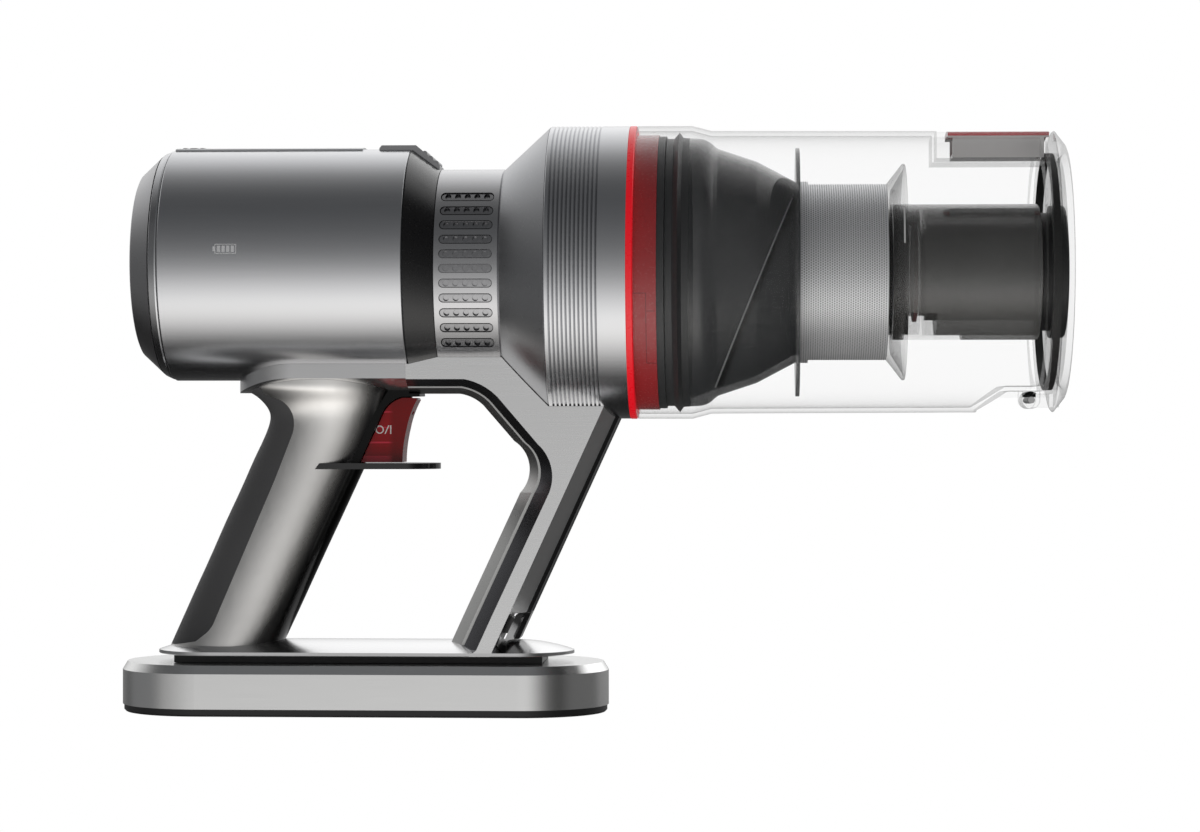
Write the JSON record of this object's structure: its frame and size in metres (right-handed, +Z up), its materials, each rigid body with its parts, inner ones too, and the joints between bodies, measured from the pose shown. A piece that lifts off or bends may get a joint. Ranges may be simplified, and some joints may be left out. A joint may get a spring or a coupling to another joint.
{
  "type": "handheld vacuum cleaner",
  "caption": "Handheld vacuum: barrel with rear filter, ribbed motor housing, clear dust bin with a hinged door, closed ring handle with trigger, and a flat battery that is also its stand.",
  "frame": {"origin": "centre of the battery base's underside", "axes": "+X along the barrel towards the nozzle end, +Y to the user's left when the nozzle points away, +Z up"},
  "size_m": [0.3954, 0.1228, 0.2456],
  "materials": {
    "gunmetal": "satin metallic paint, light horizontal sheen",
    "light_metal": "satin silver metallic paint",
    "dark_metal": "satin dark grey metallic paint",
    "gloss_black": "gloss",
    "red": "gloss red",
    "steel": "machined",
    "rubber": "matte",
    "matte_black": "matte",
    "board": "coated board",
    "foam": "open-cell",
    "smoky": "smoky translucent",
    "mesh": "perforated steel",
    "soft_grey": "soft-touch grey",
    "clear": "clear polycarbonate",
    "filter": "pleated",
    "cells": "wrapped cells"
  },
  "bodies": {
    "main": {"barrel_shell": "gunmetal", "barrel_end_ring": "light_metal", "control_strip": "dark_metal", "front_collar": "gloss_black", "neck_shell": "gunmetal", "neck_grille": "gunmetal", "front_cone": "dark_metal", "ribbed_housing": "gunmetal", "red_ring": "red", "bin_seat": "red", "motor_can": "light_metal", "motor_stator": "steel", "motor_bearings": "steel", "motor_mounts": "rubber", "diffuser": "matte_black", "control_board": "board", "pre_filter": "foam", "lip_seal": "rubber", "cyclone_body": "smoky", "mesh_shroud": "mesh", "shroud_skirt": "matte_black", "inlet_tube": "matte_black", "saddle": "light_metal", "frame_left": "light_metal", "frame_right": "light_metal", "frame_core": "dark_metal", "strut_cover": "light_metal", "strut_nose": "dark_metal", "foot_plate": "light_metal", "grip_left": "light_metal", "grip_right": "light_metal", "grip_pad": "soft_grey", "finger_shelf": "matte_black", "trigger_housing": "matte_black", "trigger_pin": "steel", "trigger_switch": "matte_black", "trigger_spring": "steel", "release_spring": "steel", "spring_seat": "matte_black", "dock_block": "matte_black"},
    "battery_pack": {"battery_shell": "light_metal", "battery_tray": "matte_black", "battery_cells": "cells"},
    "battery_catch": {"battery_latch": "gloss_black"},
    "rotor": {"motor_shaft": "steel", "rotor_magnet": "steel", "impeller": "matte_black"},
    "trigger_lever": {"trigger": "red"},
    "release_catch": {"release_button": "dark_metal"},
    "mode_key": {"mode_button": "matte_black"},
    "bin": {"dust_bin": "clear", "hinge_pin": "steel", "door_seal": "rubber"},
    "door": {"bin_door": "smoky", "inlet_collar": "matte_black"},
    "latch": {"door_latch": "red"},
    "cartridge": {"filter_frame": "matte_black", "filter_media": "filter"},
    "cap": {"rear_cap": "gunmetal"},
    "flap": {"inlet_flap": "rubber"}
  },
  "joints": [
    {"name": "battery_plug", "type": "slide", "parent": "main", "child": "battery_pack", "axis": [0, 0, -1], "range_m": [0, 0.028]},
    {"name": "battery_catch_push", "type": "slide", "parent": "main", "child": "battery_catch", "axis": [-1, 0, 0], "range_m": [0, 0.0025], "stiffness_N_per_m": 800, "springref_m": -0.001},
    {"name": "rotor_spin", "type": "hinge", "parent": "main", "child": "rotor", "pos_m": [0.065, 0, 0.1842], "axis": [1, 0, 0], "continuous": true},
    {"name": "trigger_pull", "type": "hinge", "parent": "main", "child": "trigger_lever", "pos_m": [0.0174, 0, 0.1278], "axis": [0, 1, 0], "range_deg": [0, 8], "stiffness_Nm_per_rad": 0.5, "springref_deg": -8.59, "deforming": ["trigger_spring"]},
    {"name": "release_push", "type": "slide", "parent": "main", "child": "release_catch", "axis": [0, 0, -1], "range_m": [0, 0.002], "stiffness_N_per_m": 900, "springref_m": -0.001, "deforming": ["release_spring"]},
    {"name": "mode_push", "type": "slide", "parent": "main", "child": "mode_key", "axis": [0, 0, -1], "range_m": [0, 0.0008], "stiffness_N_per_m": 1500, "springref_m": -0.0005},
    {"name": "bin_slide", "type": "slide", "parent": "main", "child": "bin", "axis": [1, 0, 0], "range_m": [0, 0.175]},
    {"name": "door_swing", "type": "hinge", "parent": "bin", "child": "door", "pos_m": [0.2784, 0, 0.1306], "axis": [0, 1, 0], "range_deg": [0, 110]},
    {"name": "door_latch_pull", "type": "slide", "parent": "bin", "child": "latch", "axis": [-1, 0, 0], "range_m": [0, 0.004], "stiffness_N_per_m": 600, "springref_m": -0.001},
    {"name": "cartridge_slide", "type": "slide", "parent": "main", "child": "cartridge", "axis": [-1, 0, 0], "range_m": [0, 0.07]},
    {"name": "cap_twist", "type": "hinge", "parent": "cartridge", "child": "cap", "pos_m": [-0.088, 0, 0.1876], "axis": [1, 0, 0], "range_deg": [0, 20]},
    {"name": "flap_swing", "type": "hinge", "parent": "main", "child": "flap", "pos_m": [0.2302, 0, 0.2056], "axis": [0, 1, 0], "range_deg": [0, 60]}
  ]
}
